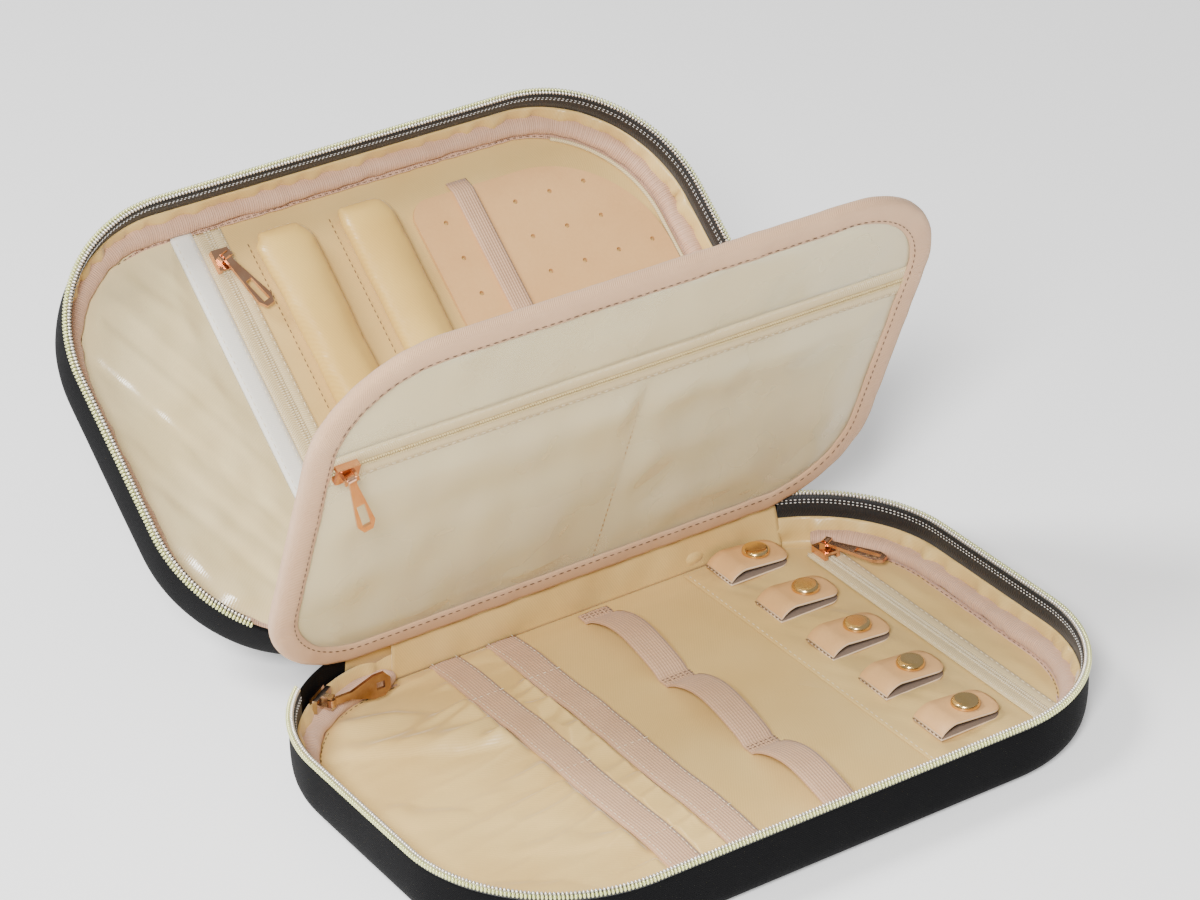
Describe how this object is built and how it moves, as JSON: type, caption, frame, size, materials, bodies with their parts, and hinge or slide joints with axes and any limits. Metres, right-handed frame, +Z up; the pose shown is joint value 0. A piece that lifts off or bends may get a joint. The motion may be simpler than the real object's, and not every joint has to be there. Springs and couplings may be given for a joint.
{
  "type": "travel jewelry case",
  "caption": "Soft zip-round travel jewelry case, open: padded tray with snap straps and pockets, lid with ring rolls and earring board, hinged divider page.",
  "frame": {"origin": "centre of the tray base, on the surface the case stands on", "axes": "+X along the spine to the right, +Y from the front to the spine, +Z up"},
  "size_m": [0.25, 0.3111, 0.1645],
  "materials": {
    "outer_fabric": "black coated nylon, matte",
    "stiffener": "grey board, hidden",
    "foam": "white foam, hidden",
    "satin": "gold-beige satin",
    "zipper_tape": "black woven tape",
    "silver_teeth": "silver zipper chain",
    "grosgrain": "pinkish-beige ribbed binding",
    "elastic": "pinkish-beige woven elastic",
    "pocket_tape": "beige zipper tape",
    "pocket_coil": "gold-beige coil",
    "leather": "smooth peach-tan leather",
    "snap_brass": "polished brass gold",
    "rose_gold": "polished rose gold",
    "silver_metal": "polished silver",
    "clear_film": "cream translucent vinyl",
    "glossy_satin": "glossy champagne satin"
  },
  "bodies": {
    "lid": {"board_band": "elastic", "lid_base_board": "stiffener", "lid_bound_roll": "grosgrain", "lid_floor_pad": "foam", "lid_lining": "satin", "lid_outer_shell": "outer_fabric", "lid_pocket_coil": "pocket_coil", "lid_pocket_edge_strip": "satin", "lid_pocket_panel": "glossy_satin", "lid_pocket_tape": "pocket_tape", "lid_zipper_tape": "zipper_tape", "lid_zipper_teeth": "silver_teeth", "ring_roll_left": "satin", "ring_roll_right": "satin"},
    "earring_board": {"earring_board": "leather"},
    "tray": {"elastic_loop_strip": "elastic", "gathered_pocket_inner": "satin", "gathered_pocket_outer": "satin", "main_zipper_slider": "silver_metal", "pocket_band_left": "elastic", "pocket_band_right": "elastic", "snap_studs": "snap_brass", "spine_flap": "satin", "spine_fold": "outer_fabric", "strap_bases": "leather", "tray_base_board": "stiffener", "tray_bound_roll": "grosgrain", "tray_floor_pad": "foam", "tray_lining": "satin", "tray_outer_shell": "outer_fabric", "tray_pocket_coil": "pocket_coil", "tray_pocket_panel": "satin", "tray_pocket_tape": "pocket_tape", "tray_zipper_tape": "zipper_tape", "tray_zipper_teeth": "silver_teeth"},
    "lid_pocket_pull": {"lid_pocket_pull": "rose_gold"},
    "lid_pocket_slider": {"lid_pocket_slider": "rose_gold"},
    "main_zipper_pull": {"main_zipper_pull": "silver_metal"},
    "page": {"page_back_cover": "satin", "page_binding": "grosgrain", "page_board": "stiffener", "page_lower_window": "clear_film", "page_pocket_coil": "pocket_coil", "page_pocket_tape": "pocket_tape", "page_upper_window": "clear_film"},
    "page_pocket_pull": {"page_pocket_pull": "rose_gold"},
    "page_pocket_slider": {"page_pocket_slider": "rose_gold"},
    "strap_flap_1": {"snap_cap_1": "snap_brass", "strap_flap_1": "leather"},
    "strap_flap_2": {"snap_cap_2": "snap_brass", "strap_flap_2": "leather"},
    "strap_flap_3": {"snap_cap_3": "snap_brass", "strap_flap_3": "leather"},
    "strap_flap_4": {"snap_cap_4": "snap_brass", "strap_flap_4": "leather"},
    "strap_flap_5": {"snap_cap_5": "snap_brass", "strap_flap_5": "leather"},
    "tray_pocket_pull": {"tray_pocket_pull": "rose_gold"},
    "tray_pocket_slider": {"tray_pocket_slider": "rose_gold"}
  },
  "joints": [
    {"name": "lid_hinge", "type": "hinge", "parent": "tray", "child": "lid", "pos_m": [0, 0.0844, 0.0243], "axis": [-1, 0, 0], "range_deg": [-140.6, 39.4]},
    {"name": "page_hinge", "type": "hinge", "parent": "tray", "child": "page", "pos_m": [0, 0.078, 0.02], "axis": [-1, 0, 0], "range_deg": [-67, 18.8]},
    {"name": "tray_pocket_zip", "type": "slide", "parent": "tray", "child": "tray_pocket_slider", "axis": [0, -1, 0], "range_m": [0, 0.095]},
    {"name": "tray_pull_swing", "type": "hinge", "parent": "tray_pocket_slider", "child": "tray_pocket_pull", "pos_m": [0.097, 0.059, 0.0112], "axis": [-0.9063, -0.4226, 0], "range_deg": [0, 70]},
    {"name": "main_pull_swing", "type": "hinge", "parent": "tray", "child": "main_zipper_pull", "pos_m": [-0.09501, 0.06796, 0.0136], "axis": [0, 0, -1], "range_deg": [0, 60]},
    {"name": "lid_pocket_zip", "type": "slide", "parent": "lid", "child": "lid_pocket_slider", "axis": [0, -0.7727, -0.6347], "range_m": [0, 0.11]},
    {"name": "lid_pull_swing", "type": "hinge", "parent": "lid_pocket_slider", "child": "lid_pocket_pull", "pos_m": [-0.051, 0.20571, 0.10569], "axis": [-0.9455, -0.2516, -0.2066], "range_deg": [0, 100]},
    {"name": "earring_board_slide", "type": "slide", "parent": "lid", "child": "earring_board", "axis": [0, -0.7727, -0.6347], "range_m": [0, 0.008]},
    {"name": "page_pocket_zip", "type": "slide", "parent": "page", "child": "page_pocket_slider", "axis": [1, 0, 0], "range_m": [0, 0.2]},
    {"name": "page_pull_swing", "type": "hinge", "parent": "page_pocket_slider", "child": "page_pocket_pull", "pos_m": [-0.104, 0.02989, 0.11799], "axis": [-0.9511, 0.1207, -0.2845], "range_deg": [-13, 90]},
    {"name": "strap_1_unsnap", "type": "hinge", "parent": "tray", "child": "strap_flap_1", "pos_m": [0.0591, 0.0685, 0.0081], "axis": [0, -1, 0], "range_deg": [0, 24]},
    {"name": "strap_2_unsnap", "type": "hinge", "parent": "tray", "child": "strap_flap_2", "pos_m": [0.0591, 0.03938, 0.0081], "axis": [0, -1, 0], "range_deg": [0, 100]},
    {"name": "strap_3_unsnap", "type": "hinge", "parent": "tray", "child": "strap_flap_3", "pos_m": [0.0591, 0.01025, 0.0081], "axis": [0, -1, 0], "range_deg": [0, 100]},
    {"name": "strap_4_unsnap", "type": "hinge", "parent": "tray", "child": "strap_flap_4", "pos_m": [0.0591, -0.01887, 0.0081], "axis": [0, -1, 0], "range_deg": [0, 100]},
    {"name": "strap_5_unsnap", "type": "hinge", "parent": "tray", "child": "strap_flap_5", "pos_m": [0.0591, -0.048, 0.0081], "axis": [0, -1, 0], "range_deg": [0, 100]}
  ],
  "couplings": [
    {"joint": "page_hinge", "follows": "lid_hinge", "ratio": 0.47653}
  ]
}
